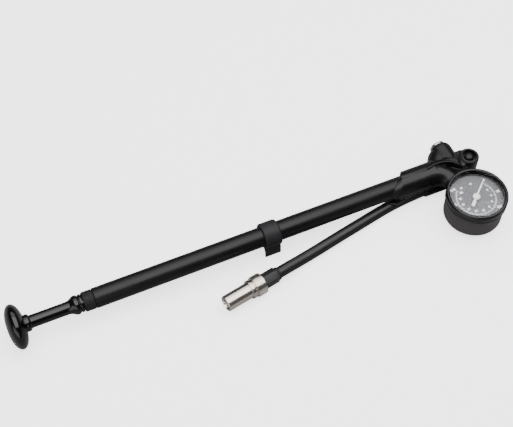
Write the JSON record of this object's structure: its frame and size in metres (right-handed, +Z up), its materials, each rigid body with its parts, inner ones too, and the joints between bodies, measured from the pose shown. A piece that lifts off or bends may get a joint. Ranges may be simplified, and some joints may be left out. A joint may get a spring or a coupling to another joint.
{
  "type": "shock suspension pump",
  "caption": "Slim high-pressure hand pump for air suspension: push-pull barrel and plunger, round dial gauge on the head, bleed button, short hose with a screw-on valve chuck.",
  "frame": {"origin": "on the table under the middle of the pump's bounding box, its hose and chuck left out", "axes": "+X along the barrel from the handle knob towards the head, +Y away from the gauge, +Z up with the pump lying down, its gauge facing up"},
  "size_m": [0.318, 0.0694, 0.028],
  "materials": {
    "black_anodised": "satin black anodised",
    "black_head": "satin black coated casting",
    "black_case": "satin black",
    "black_metal": "blackened",
    "black_plastic": "moulded black",
    "gloss_black": "gloss black",
    "matt_black": "matt black, knurled",
    "grey_plastic": "matt dark grey",
    "rubber": "black rubber",
    "nickel": "bright warm nickel plate",
    "brass": "turned",
    "bronze": "sintered",
    "polished_steel": "polished",
    "dial_grey": "printed dark grey",
    "cream": "cream",
    "clear": "clear"
  },
  "bodies": {
    "pump": {"barrel_tube": "black_anodised", "barrel_end_cap": "matt_black", "rod_wiper_seal": "rubber", "rod_guide_bush": "bronze", "check_valve_seat": "brass", "barrel_gasket": "rubber", "check_valve_spring": "polished_steel", "head_body": "black_head", "valve_plug": "nickel", "gauge_stem": "brass", "hose_fitting": "brass", "bleed_spring": "polished_steel", "gauge_case": "black_case", "gauge_bezel": "gloss_black", "gauge_lens": "clear", "gauge_dial": "dial_grey", "dial_screw_1": "cream", "dial_screw_2": "cream", "movement_plate": "brass", "bourdon_tube": "brass", "bourdon_block": "brass", "hose": "rubber", "hose_ferrule": "black_metal", "chuck_stem": "brass"},
    "plunger": {"handle_knob": "gloss_black", "handle_neck": "gloss_black", "plunger_rod": "polished_steel", "piston": "black_plastic", "piston_seal": "rubber"},
    "check_ball": {"check_valve_ball": "polished_steel"},
    "clip": {"hose_clip": "grey_plastic"},
    "bleed": {"bleed_button": "black_plastic"},
    "needle": {"gauge_needle": "cream", "needle_pinion": "brass"},
    "sector": {"sector_gear": "brass"},
    "chuck": {"chuck_nut": "nickel", "chuck_tube": "nickel", "chuck_seal": "rubber"}
  },
  "joints": [
    {"name": "plunger_slide", "type": "slide", "parent": "pump", "child": "plunger", "axis": [-1, 0, 0], "range_m": [0, 0.18]},
    {"name": "check_ball_lift", "type": "slide", "parent": "pump", "child": "check_ball", "axis": [1, 0, 0], "range_m": [0, 0.0006], "stiffness_N_per_m": 150, "springref_m": -0.001},
    {"name": "clip_slide", "type": "slide", "parent": "pump", "child": "clip", "axis": [1, 0, 0], "range_m": [-0.1, 0.03]},
    {"name": "bleed_press", "type": "slide", "parent": "pump", "child": "bleed", "axis": [0, 0, -1], "range_m": [0, 0.0008], "stiffness_N_per_m": 300, "springref_m": -0.0005, "deforming": ["bleed_spring"]},
    {"name": "needle_turn", "type": "hinge", "parent": "pump", "child": "needle", "pos_m": [0.1386, -0.0151, 0.0205], "axis": [0, 0, 1], "range_deg": [-270, 0], "stiffness_Nm_per_rad": 0.0001, "springref_deg": 17.19},
    {"name": "sector_turn", "type": "hinge", "parent": "pump", "child": "sector", "pos_m": [0.14462, -0.02178, 0.0107], "axis": [0, 0, 1], "range_deg": [0, 54]},
    {"name": "chuck_turn", "type": "hinge", "parent": "pump", "child": "chuck", "pos_m": [-0.0046, -0.01, 0.00685], "axis": [-0.9826, -0.1857, 0], "continuous": true}
  ],
  "couplings": [
    {"joint": "sector_turn", "follows": "needle_turn", "ratio": -0.2}
  ]
}
